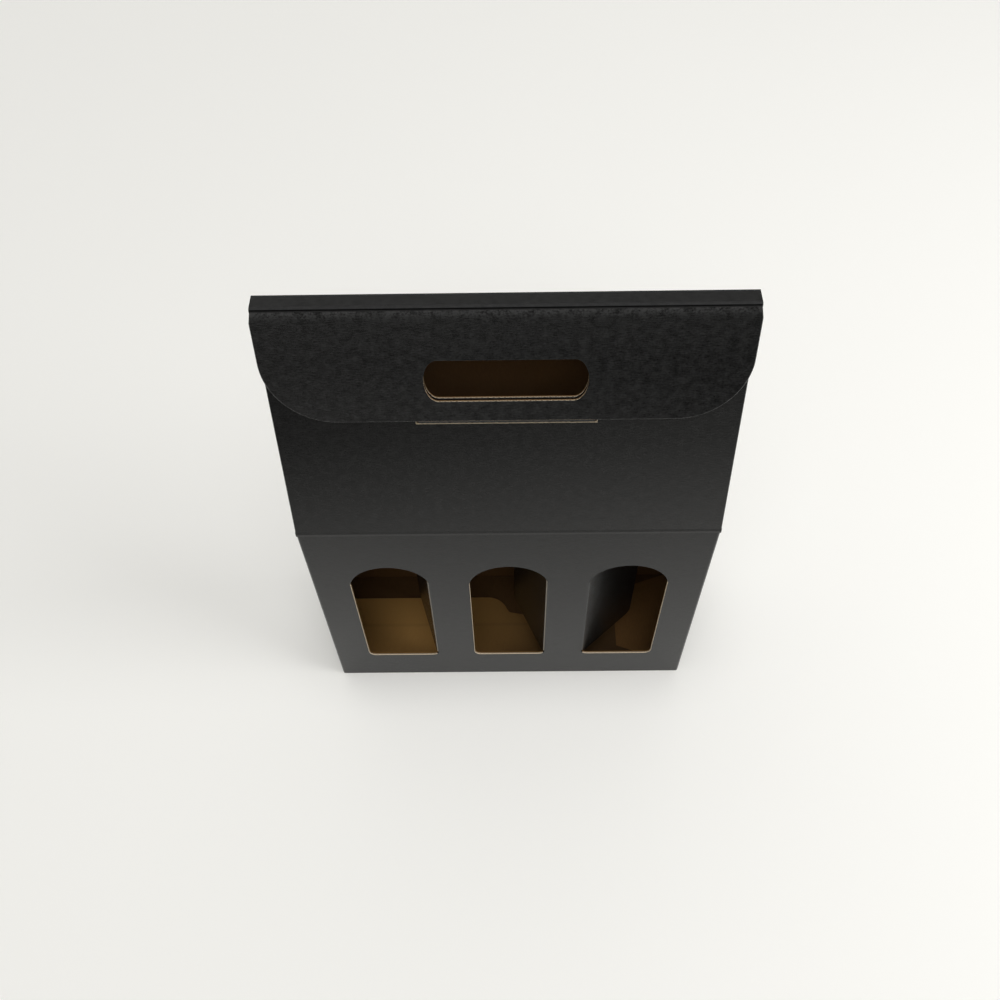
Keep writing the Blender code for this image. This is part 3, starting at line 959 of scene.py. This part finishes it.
@dataclass(frozen=True)
class Window:
    """Arched window and the flap cut from it."""

    name: str
    centre: float
    hinge_side: int
    fold: float
    width: float = 54.0 * MM
    sill: float = 33.5 * MM
    spring: float = 145.5 * MM
    rise: float = 22.0 * MM
    corner: float = 5.0 * MM
    flap_gap: float = 0.4 * MM
    rim: float = 0.6 * MM

    @property
    def hinge(self) -> float:
        """X of the flap's crease."""
        return self.centre + self.hinge_side * self.width / 2

    @property
    def radius(self) -> float:
        """Radius of the arch."""
        return ((self.width / 2) ** 2 + self.rise ** 2) / (2 * self.rise)

    def holds(self, spot: Vector) -> bool:
        """Tell whether a point of the front wall lies in the window or on its rim."""
        return (abs(spot.x - self.centre) < self.width / 2 + self.rim
                and self.sill - self.rim < spot.y < self.spring + self.rise + self.rim)

    def flap_rise(self, inwards: float) -> float:
        """Height of the flap's arched end above the spring line.

        Args:
            inwards: Distance from the crease, into the flap.

        Returns:
            The height there, never below 0.
        """
        across = self.width / 2 - max(0.0, inwards)
        level = max(0.0, (self.radius - self.flap_gap) ** 2 - across ** 2)
        return max(0.0, math.sqrt(level) - self.radius + self.rise)

    def outline(self, name: str, inset: float) -> Sheet:
        """Draw the arched shape, smaller all round by an inset.

        Args:
            name: Name of the new sheet.
            inset: Distance inside the window's outline.

        Returns:
            The flat shape in the front wall's frame.
        """
        radius = self.radius - inset
        sill = self.sill + inset
        shape = Sheet.disc(name, (self.centre, self.spring + self.rise - self.radius),
                           (radius, radius))
        shape.trim((0, self.spring, 0), (0, -1, 0))
        shape.extend(lambda spot: abs(spot.y - self.spring) < HAIR, (0, sill - self.spring, 0))
        shape.round_corners(lambda spot: spot.y < sill + HAIR, self.corner, segments=6)
        return shape


@dataclass
class Handle:
    """Long hand hole through the lid and both slopes."""

    width: float = 92.0 * MM
    height: float = 27.5 * MM
    drop: float = 33.5 * MM
    end_depth: float = 8.0 * MM

    @property
    def middle(self) -> float:
        """Distance of the hole's middle from the ridge."""
        return self.drop + self.height / 2

    def outline(self, up: float) -> Sheet:
        """Draw the hole, with its two elliptical ends.

        Args:
            up: Y of the hole's middle.

        Returns:
            The flat shape in the panel's frame.
        """
        edge = self.width / 2 - self.end_depth
        shape = Sheet.disc("hand_hole", (edge, up), (self.end_depth, self.height / 2))
        shape.trim((edge, 0, 0), (-1, 0, 0))
        shape.extend(lambda spot: abs(spot.x - edge) < HAIR, (-edge, 0, 0))
        shape.finish_with("MIRROR", use_mirror_merge=True, merge_threshold=HAIR)
        return shape


@dataclass
class Crease:
    """Strip of board that bends between two panels."""

    name: str
    parent: str
    child: str
    place: Matrix
    angle: float
    start: float
    end: float
    end_skin: Skin = Skin.BLACK
    rise: Callable[[float], float] | None = None
    least_bend: float = 0.2 * MM

    def build(self, board: Board, black: bpy.types.Material | None = None) -> None:
        """Make the strip, bent as at rest.

        Args:
            board: Sizes and finishes of the board.
            black: Finish of the black face where it isn't the usual one.
        """
        tangent = board.bend_radius * math.tan(self.angle / 2)
        centre = Vector((0, -tangent, -board.bend_radius))
        away = Vector((0, math.cos(self.angle), -math.sin(self.angle)))
        last = away * tangent
        sheet = Sheet.plate(self.name, self.start, self.end, -board.strip, -tangent)
        sheet.curl(lambda spot: abs(spot.y + tangent) < TOUCH, centre, Vector((1, 0, 0)),
                   -self.angle, max(3, round(self.angle / BEND_STEP)))
        sheet.extend(lambda spot: (spot - Vector((spot.x, last.y, last.z))).length < TOUCH,
                     tuple(away * (board.strip - tangent)))
        if self.rise:
            self.follow(sheet, board, tangent, away)
        sheet.thicken(board.thickness)

        def depth(spot: Vector) -> float:
            """Depth of a point below the bent black face.

            Args:
                spot: Point of the strip, still on the bench.

            Returns:
                The depth, square to the face.
            """
            if spot.y < centre.y:
                return -spot.z
            if spot.dot(away) > tangent:
                return -spot.dot(Vector((0, math.sin(self.angle), math.cos(self.angle))))
            return board.bend_radius - (spot - Vector((spot.x, centre.y, centre.z))).length

        board.finish(sheet, self.place, black, lambda middle: self.end_skin, depth)
        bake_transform(sheet.obj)

    def follow(self, sheet: Sheet, board: Board, tangent: float, away: Vector) -> None:
        """Draw the strip's upper end up along the outline of its child panel.

        Args:
            sheet: The bent strip, without thickness.
            board: Sizes of the board.
            tangent: Distance of the bend's start from the panels' corner.
            away: Direction of the child panel.
        """
        middle = abs(self.start + self.end) / 2
        for vertex in sheet.obj.data.vertices:
            spot = vertex.co
            if abs(spot.x) > middle:
                turned = math.atan2(max(0.0, spot.y + tangent), spot.z + board.bend_radius)
                run = (min(spot.y, -tangent) + board.strip
                       + board.bend_radius * min(turned, self.angle)
                       + max(0.0, spot.dot(away) - tangent))
                spot.x += math.copysign(self.rise(run), spot.x)


@dataclass
class Body:
    """Lower box: four walls with rounded upright creases, the windows and the dividers."""

    carton: Carton
    corner_radius: float = 2.0 * MM
    corner_steps: int = 5
    window_crush: float = 0.3 * MM
    notch_end: float = 1.9 * MM
    crease_side: float = 1.1 * MM
    black_band: float = 8.0 * MM
    # Flaps folded further than this get the painted highlight along their crease
    highlight_fold: float = math.radians(60)
    windows: tuple[Window, ...] = (
        Window("left", -82.0 * MM, 1, math.radians(73)),
        Window("middle", 0.0, 1, math.radians(66)),
        Window("right", 82.0 * MM, -1, math.radians(42)),
    )

    def build(self) -> None:
        """Make walls and dividers."""
        log.info("building the body")
        carton = self.carton
        for side, node, half in (("front", "front_panel", carton.half_width),
                                 ("back", "back_panel", carton.half_width),
                                 ("left", "left_side_panel", carton.half_depth),
                                 ("right", "right_side_panel", carton.half_depth)):
            self.wall(side, node, half)
        for window in self.windows:
            self.divider(window)

    def wall(self, side: str, node: str, half: float) -> None:
        """Make one wall, with half of each upright crease rolled on at its ends.

        Args:
            side: Which wall of the carton.
            node: CAD node that it replaces.
            half: Half of the wall's width.
        """
        board = self.carton.board
        radius = self.corner_radius
        edge = half - radius
        sheet = Sheet.plate(side + "_wall", -edge, edge, 0.0, self.carton.kink - board.strip)
        for sign in (-1, 1):
            sheet.curl(lambda spot: abs(spot.x - sign * edge) < TOUCH,
                       Vector((sign * edge, 0, -radius)), Vector((0, sign, 0)), math.pi / 4,
                       self.corner_steps)
        sheet.thicken(board.thickness)
        if side == "front":
            self.open_windows(sheet)

        def depth(spot: Vector) -> float:
            """Depth of a point below the black face, also where it is rolled on at its ends."""
            past = abs(spot.x) - edge
            return radius - math.hypot(past, spot.z + radius) if past > 0 else -spot.z

        board.install(sheet, self.carton.places[side], "root", node, black=board.wall_black,
                      edge_skin=self.wall_edge, depth_of=depth)

    def wall_edge(self, middle: Vector) -> Skin | None:
        """Tell black from bare board beside the windows' creases and along their cut edges.

        Args:
            middle: Middle of a face on the wall's edges.

        Returns:
            Its skin, or None for the usual one.
        """
        for window in self.windows:
            past = (middle.x - window.hinge) * window.hinge_side
            if -self.crease_side < past < self.carton.board.strip:
                return Skin.BLACK
        below_arch = any(window.holds(middle) and middle.y < window.spring
                         for window in self.windows)
        return Skin.CUT if below_arch else None

    def open_windows(self, sheet: Sheet) -> None:
        """Cut the windows, with room for the crease of each flap, and crush their rims.

        Args:
            sheet: The front wall on the bench.
        """
        board = self.carton.board
        for window in self.windows:
            lap = board.strip - board.thickness * math.tan(window.fold / 2)
            left, right = sorted(window.hinge + window.hinge_side * x for x in (-MM, lap))
            sheet.cut(window.outline("window", 0.0),
                      Sheet.plate("notch", left, right, window.sill + window.corner,
                                  window.spring))

        def on_rim(spot: Vector) -> bool:
            """Tell a window's cut edge from its crease and the notch for it.

            Args:
                spot: Middle of an edge of the wall.

            Returns:
                Whether it is crushed.
            """
            for window in self.windows:
                if window.holds(spot):
                    past = (spot.x - window.hinge) * window.hinge_side
                    ends = (window.spring, window.sill + window.corner)
                    by_notch = any(abs(spot.y - end) < self.notch_end for end in ends)
                    return past < -SLACK / 2 and not (past > -MM and by_notch)
            return False

        sheet.crush_rim(on_rim, self.window_crush)

    def divider(self, window: Window) -> None:
        """Make one window flap with the crease that joins it to the front wall.

        Args:
            window: The flap's window.
        """
        board = self.carton.board
        front = self.carton.places["front"]
        body = window.name + "_divider"
        turn = window.hinge_side * RIGHT_ANGLE
        beyond = board.thickness * math.tan(window.fold / 2)
        start = board.strip - beyond
        sheet = window.outline(body + "_board", window.flap_gap)
        sheet.obj.data.transform(
            Matrix.Rotation(-turn, 4, "Z") @ Matrix.Translation((-window.hinge, 0, 0)))
        sheet.trim((0, start, 0), (0, -1, 0))
        sheet.thicken(board.thickness)
        sheet.crush_rim(lambda spot: spot.y > start + SLACK / 2)
        hinge = folded(front, window.hinge, 0, window.fold, turn, board.thickness)
        board.install(
            sheet, hinge @ Matrix.Translation((0, 0, board.thickness)), body, body,
            edge_skin=lambda spot: Skin.BLACK if spot.y < start + self.black_band else None)
        crease = folded(front, window.hinge, 0, 0, turn) @ Matrix.Translation((0, beyond, 0))
        low, high = sorted(window.hinge_side * y
                           for y in (window.sill + window.corner, window.spring))
        # Painted highlight along the crease of a sharply folded flap
        crease_highlit = window.fold > self.highlight_fold
        Crease(body + "_crease", "root", body, crease, window.fold, low, high,
               rise=lambda run: window.flap_rise(run - start)
               ).build(board, board.crease_highlight if crease_highlit else None)


@dataclass
class Gable:
    """Gable top: both slopes, the ridge strip, the lid with its tab, and the gussets."""

    carton: Carton
    handle: Handle = field(default_factory=Handle)
    lid_overhang: float = 1.5 * MM
    lid_corner: float = 40.0 * MM
    lid_corner_steps: int = 24
    lid_shoulder: float = 7.0 * MM
    tab_width: float = 101.0 * MM
    tab_length: float = 18.0 * MM
    tab_corner: float = 7.0 * MM
    tab_fold: float = math.radians(92)
    slot_side: float = 1.5 * MM
    slot_above: float = 1.4 * MM
    slot_below: float = 1.2 * MM
    slot_lip: tuple[float, float] = (1.0 * MM, 0.3 * MM)
    slot_rim: float = 2.0 * MM
    hole_rim: float = 2.0 * MM
    hole_margins: tuple[float, float] = (1.0 * MM, 5.0 * MM)
    front_drop: float = 17.0 * MM
    edge_corner: float = 5.0 * MM
    gusset_start: float = 22.0 * MM
    gusset_trim: float = 3.4 * MM
    flank_share: float = 0.85
    flank_gap: float = 0.3 * MM
    hole_shift: float = 1.1 * MM
    hole_crush: float = 0.35 * MM
    fold_crush: tuple[float, float] = (0.8 * MM, 0.5 * MM)
    fold_band: float = 1.2 * MM

    def build(self) -> None:
        """Make the slopes, ridge, lid, tab and gussets with the creases between them."""
        log.info("building the gable")
        self.front_slope()
        self.back_slope()
        self.ridge()
        self.lid()
        self.tab()
        for side in ("left", "right"):
            self.gusset(side)
        for slope, side, sign in (("front", "left", 1), ("front", "right", -1),
                                  ("back", "right", 1), ("back", "left", -1)):
            self.flank(slope, side, sign)

    def front_slope(self) -> None:
        """Make the front slope with hand hole and slot, and its crease with the front wall."""
        carton = self.carton
        board = carton.board
        half = carton.half_width
        top = carton.front_slope_length - self.front_drop
        lid_end = carton.front_slope_length - carton.lid_length
        lip = lid_end - board.thickness - self.slot_below
        slot_half = self.tab_width / 2 + self.slot_side
        sheet = Sheet.plate("front_slope_board", -half, half, board.strip, top)
        sheet.round_corners(lambda spot: spot.y > top - TOUCH, self.edge_corner)
        sheet.thicken(board.thickness)
        hole = carton.front_slope_length - self.handle.middle + self.hole_shift
        sheet.cut(self.handle.outline(hole),
                  Sheet.plate("slot", -slot_half, slot_half, lip, lid_end + self.slot_above))
        sheet.crush_rim(lambda spot: spot.y > board.strip + SLACK and abs(spot.x) < half - SLACK,
                        self.hole_crush)
        self.fold_sides(sheet, top)

        def edge_skin(middle: Vector) -> Skin | None:
            """Black along the folded sides, and bare board on the slot's lip and at its ends.

            Args:
                middle: Middle of a face on the slope's edges.

            Returns:
                Its skin, or None for the usual one.
            """
            if abs(middle.x) > half - self.fold_band:
                return Skin.BLACK
            on_lip = lip - self.slot_lip[0] < middle.y < lip + self.slot_lip[1]
            slot_end = (abs(middle.x) > self.tab_width / 2
                        and lip < middle.y < lid_end + self.slot_rim)
            return Skin.CUT if on_lip or slot_end else None

        board.install(sheet, carton.places["front_slope"], "front_slope", "front_slope",
                      black=board.slope_black, edge_skin=edge_skin)
        Crease("front_kink_crease", "root", "front_slope", carton.crease("front", carton.kink),
               carton.front_lean, -half, half).build(board)

    def fold_sides(self, sheet: Sheet, top: float) -> None:
        """Round a slope's side edges where the gusset's halves fold round them.

        Args:
            sheet: The slope on the bench.
            top: Upper end of the fold.
        """
        side = self.carton.half_width - HAIR
        for depth, width in zip((0.0, self.carton.board.thickness), self.fold_crush):
            sheet.crush_rim(lambda spot: abs(spot.x) > side and spot.y < top, width, depth)

    def back_slope(self) -> None:
        """Make the back slope with its hand hole, and its crease with the back wall."""
        carton = self.carton
        board = carton.board
        half = carton.half_width
        far = carton.slope_length - board.strip
        sheet = Sheet.plate("back_slope_board", -half, half, board.strip, far)
        sheet.thicken(board.thickness)
        sheet.cut(self.handle.outline(carton.slope_length - self.handle.middle))
        sheet.crush_rim(lambda spot: board.strip + SLACK < spot.y < far - SLACK
                        and abs(spot.x) < half - SLACK)
        self.fold_sides(sheet, far)
        board.install(
            sheet, carton.places["back_slope"], "back_slope", "back_slope",
            black=board.slope_black,
            edge_skin=lambda spot: Skin.BLACK if abs(spot.x) > half - self.fold_band else None)
        Crease("back_kink_crease", "root", "back_slope", carton.crease("back", carton.kink),
               carton.back_lean, -half, half).build(board)

    def ridge(self) -> None:
        """Make the ridge strip with its two creases."""
        carton = self.carton
        board = carton.board
        half = carton.half_width
        sheet = Sheet.plate("ridge_board", -half, half, board.strip,
                            carton.ridge_depth - board.strip)
        sheet.thicken(board.thickness)
        board.install(sheet, carton.places["ridge"], "ridge", "ridge_strip",
                      black=board.ridge_black)
        Crease("ridge_back_crease", "back_slope", "ridge",
               carton.crease("back_slope", carton.slope_length),
               RIGHT_ANGLE - carton.back_lean, -half, half).build(board, board.creased)
        Crease("ridge_front_crease", "ridge", "lid",
               carton.crease("ridge", carton.ridge_depth),
               RIGHT_ANGLE - carton.front_lean, -half, half).build(board, board.scored)

    def lid(self) -> None:
        """Make the lid flap, with sloping shoulders, round corners and the hand hole."""
        carton = self.carton
        board = carton.board
        half = carton.half_width
        wide = half + self.lid_overhang
        far = carton.lid_length
        hole_end = self.handle.width / 2 + self.hole_rim
        low, high = board.strip + self.hole_margins[0], far - self.hole_margins[1]
        sheet = Sheet.plate("lid_board", -wide, wide, board.strip, far)
        sheet.round_corners(lambda spot: spot.y > far - TOUCH, self.lid_corner,
                            self.lid_corner_steps)
        for sign in (-1, 1):
            sheet.trim((sign * half, board.strip, 0),
                       (sign * self.lid_shoulder, -self.lid_overhang, 0))
        sheet.thicken(board.thickness)
        sheet.cut(self.handle.outline(self.handle.middle))

        def around_hole(middle: Vector) -> bool:
            """Tell whether a place on the lid lies by the hand hole and not on the outline."""
            return abs(middle.x) < hole_end and low < middle.y < high

        def edge_skin(middle: Vector) -> Skin | None:
            """Crushed rim all round the lid, apart from its deeper part and the hand hole.

            Args:
                middle: Middle of a face on the lid's edges.

            Returns:
                Its skin, or None for the usual one.
            """
            beside_ridge = middle.y < board.strip + self.lid_shoulder
            deep = middle.z < SLACK / 2 - board.crush and not beside_ridge
            return None if around_hole(middle) or deep else Skin.RIM

        sheet.crush_rim(around_hole, self.hole_crush)
        sheet.crush_rim(lambda spot: spot.y > board.strip + SLACK and not around_hole(spot))
        board.install(sheet, carton.places["lid"], "lid", "lid_flap", black=board.lid_black,
                      edge_skin=edge_skin)

    def tab(self) -> None:
        """Make the tab that tucks into the slot, and its crease with the lid."""
        carton = self.carton
        board = carton.board
        half = self.tab_width / 2
        beyond = board.thickness * math.tan(self.tab_fold / 2)
        near = board.strip - beyond
        sheet = Sheet.plate("tab_board", -half, half, near, self.tab_length)
        sheet.round_corners(lambda spot: spot.y > self.tab_length - TOUCH, self.tab_corner)
        sheet.thicken(board.thickness)
        sheet.crush_rim(lambda spot: spot.y > near + SLACK)
        hinge = folded(carton.places["lid"], 0, carton.lid_length, self.tab_fold, 0,
                       board.thickness)
        board.install(sheet, hinge @ Matrix.Translation((0, 0, board.thickness)), "tab",
                      "tuck_tab")
        Crease("tab_crease", "lid", "tab", carton.crease("lid", carton.lid_length + beyond),
               self.tab_fold, -half, half, Skin.CUT).build(board)

    def gusset(self, side: str) -> None:
        """Make the leaning triangle at one end, and its crease with the side wall.

        Args:
            side: End of the box, "left" or "right".
        """
        carton = self.carton
        board = carton.board
        slant = carton.half_depth / carton.slope_length
        lean = math.acos((1 - slant * math.sin(carton.back_lean)) / math.cos(carton.back_lean))
        top = carton.slope_length - self.front_drop
        root = carton.half_depth - self.gusset_trim
        tip = carton.half_depth * self.front_drop / carton.slope_length
        foot = tip + (root - tip) * (top - board.strip) / top
        name = side + "_gusset"
        sheet = Sheet.plate(name + "_board", -root, root, board.strip, top)
        for vertex in sheet.obj.data.vertices:
            vertex.co.x = math.copysign(tip if vertex.co.y > top / 2 else foot, vertex.co.x)
        sheet.thicken(board.thickness)
        sheet.crush_rim(lambda spot: spot.y > board.strip + SLACK)
        board.install(sheet, folded(carton.places[side], 0, carton.kink, lean), name, name,
                      edge_skin=lambda spot: Skin.BLACK if spot.y < top - MM else None)
        Crease(name + "_crease", "root", name, carton.crease(side, carton.kink), lean,
               -root, root).build(board)

    def flank(self, slope: str, side: str, sign: int) -> None:
        """Make the half of a gusset that is folded back inside a slope.

        Args:
            slope: Slope that it lies against, "front" or "back".
            side: End of the box, "left" or "right".
            sign: 1 where the slope's X points away from this end, -1 where it points to it.
        """
        carton = self.carton
        board = carton.board
        lean = carton.front_lean if slope == "front" else carton.back_lean
        slant = carton.half_depth / carton.slope_length
        taper = slant * self.flank_share
        top = carton.slope_length - self.front_drop
        opening = math.asin((slant - math.sin(lean)) / (slant * math.cos(lean)))
        place = folded(carton.places[slope + "_slope"], -sign * carton.half_width, 0,
                       math.pi - opening, sign * RIGHT_ANGLE,
                       carton.lid_stand_off - SLACK + board.thickness)
        name = f"{side}_{slope}"
        near, far = sorted((sign * self.gusset_start, sign * top))
        sheet = Sheet.plate(name + "_flank_board", near, far, self.flank_gap, top * taper)
        for vertex in sheet.obj.data.vertices:
            if vertex.co.y > MM:
                vertex.co.y = abs(vertex.co.x) * taper
        sheet.thicken(board.thickness)
        sheet.crush_rim(lambda spot: True)
        sheet.crush_rim(lambda spot: spot.y < MM, depth=board.thickness)
        board.install(sheet, place, name + "_flank", name + "_gusset_flank",
                      edge_skin=lambda spot: Skin.BLACK if abs(spot.x) < top - MM else None)


@dataclass
class Studio:
    """Pale floor, soft lamps and the camera at the photograph's angle."""

    floor_colour: str = "#fbfaf6"
    floor_middle: Triple = (0.0, 0.45, -0.0002)
    floor_radius: float = 1.9
    floor_fade: float = 0.85
    front_light: float = 0.05
    back_light: float = 0.50
    bright_side: Triple = (-0.45, 0.80, 0.40)
    bright_from: float = -0.2
    window_place: Triple = (1.50, -0.36, 1.38)
    window_size: float = 1.0
    window_power: float = 13.5
    ceiling_side: Triple = (0.0, -0.02, 1.0)
    ceiling_power: float = 0.95
    ceiling_spread: float = math.radians(24.0)
    front_side: Triple = (0.0, -0.65, 1.0)
    front_power: float = 0.80
    front_spread: float = math.radians(46.0)
    camera_place: Triple = (0.0020, -0.3827, 0.7469)
    camera_turn: Triple = (34.07, 0.84, -0.13)
    focal_length: float = 36.0
    sensor_width: float = 36.0

    def build(self) -> None:
        """Set up floor, world, lamps and camera."""
        self.floor()
        self.world()
        side_light = self.light("side_light", "AREA", self.window_place, self.window_power,
                                shape="SQUARE", size=self.window_size)
        side_light.location = self.window_place
        side_light.visible_camera = False
        self.light("ceiling_light", "SUN", self.ceiling_side, self.ceiling_power,
                   angle=self.ceiling_spread)
        self.light("front_light", "SUN", self.front_side, self.front_power,
                   angle=self.front_spread)
        self.camera()
        bpy.context.scene.view_settings.view_transform = "Standard"

    def floor(self) -> None:
        """Lay a plain matt sheet of paper that fades into the backdrop at its rim."""
        middle = self.floor_middle
        floor = Sheet.disc("floor", middle[:2], (self.floor_radius, self.floor_radius)).obj
        floor.data.transform(Matrix.Translation((0, 0, middle[2])))
        material, tree, shader = new_material("matt_paper", roughness=0.9, sheen=0.1)
        shader.inputs["Base Color"].default_value = linear(self.floor_colour)
        spot = add_node(tree, "TexCoord", output="Object")
        away = add_node(tree, "VectorMath", {0: spot, 1: middle}, "Value", operation="DISTANCE")
        solid = add_node(tree, "MapRange", {
            "Value": away, "From Min": self.floor_fade, "From Max": self.floor_radius,
            "To Min": 1.0, "To Max": 0.0}, interpolation_type="SMOOTHSTEP")
        tree.links.new(solid, shader.inputs["Alpha"])
        floor.data.materials.append(material)

    def world(self) -> None:
        """Light softly, dim from the front and brighter from behind, before a pale backdrop."""
        world = bpy.data.worlds.new("studio")
        bpy.context.scene.world = world
        world.use_nodes = True
        tree = world.node_tree
        tree.nodes.clear()
        seen = add_node(tree, "LightPath", output="Is Camera Ray")
        sky = add_node(tree, "TexCoord", output="Generated")
        side = add_node(tree, "VectorMath", {0: sky, 1: self.bright_side}, "Value",
                        operation="DOT_PRODUCT")
        strength = add_node(tree, "MapRange", {
            "Value": side, "From Min": self.bright_from, "From Max": 1.0,
            "To Min": self.front_light, "To Max": self.back_light},
            interpolation_type="SMOOTHSTEP")
        light = add_node(tree, "Background", {"Color": self.floor_colour, "Strength": strength})
        backdrop = add_node(tree, "Background", {"Color": self.floor_colour, "Strength": 1.0})
        both = add_node(tree, "MixShader", {0: seen, 1: light, 2: backdrop})
        add_node(tree, "OutputWorld", {"Surface": both})

    def light(self, name: str, kind: str, towards: Triple, power: float,
              **settings: object) -> bpy.types.Object:
        """Hang one soft light that shines at the box.

        Args:
            name: Name of the light.
            kind: Blender's name for the type of light.
            towards: Direction from the box to the light.
            power: Strength of the light.
            **settings: Size or spread of the light.

        Returns:
            The light, turned to the box.
        """
        data = bpy.data.lights.new(name, kind)
        data.energy = power
        for key, value in settings.items():
            setattr(data, key, value)
        light = bpy.data.objects.new(name, data)
        bpy.context.scene.collection.objects.link(light)
        light.rotation_euler = (-Vector(towards)).to_track_quat("-Z", "Y").to_euler()
        return light

    def camera(self) -> None:
        """Place the camera where the photograph was taken."""
        data = bpy.data.cameras.new("camera")
        data.sensor_width = self.sensor_width
        data.lens = self.focal_length
        data.dof.use_dof = False
        camera = bpy.data.objects.new("camera", data)
        bpy.context.scene.collection.objects.link(camera)
        camera.location = self.camera_place
        camera.rotation_euler = [math.radians(angle) for angle in self.camera_turn]
        bpy.context.scene.camera = camera


def dress_glued_flaps() -> None:
    """Give the base flaps and the glue flap, which keep their CAD shape, their finish."""
    # One kraft drawn at different tones as painted light and shade inside the box: darkest on the
    # back and left flaps, lighter on the right flap, lightest on the front flap
    base = GluedFlapBoard(paper="#5e4324", shade="#523a1e", fleck="#3a2915").make()
    front = GluedFlapBoard(name="creased_flap_board", crease_y=-5.0 * MM, paper="#946f3c",
                           shade="#876435", fleck="#5c4426").make()
    right = GluedFlapBoard(name="right_flap_board", paper="#7c5a31", shade="#6f4f2b",
                           fleck="#4b351c").make()
    seam = GluedFlapBoard(name="seam_flap_board", inward=(1.0, 0.0, 0.0)).make()
    finishes = {"back_base_flap": base, "left_base_flap": base, "right_base_flap": right,
                "front_base_flap": front, "glue_flap": seam}
    for node, finish in finishes.items():
        frame["nodes"][node].material_slots[0].material = finish
        log.info("%s: keeps its CAD shape", node)


def main() -> None:
    """Build the carton and its studio."""
    logging.basicConfig(level=logging.INFO, format="%(name)s: %(message)s")
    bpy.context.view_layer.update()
    carton = Carton(Board())
    Body(carton).build()
    Gable(carton).build()
    dress_glued_flaps()
    Studio().build()


if __name__ == "__main__":
    main()
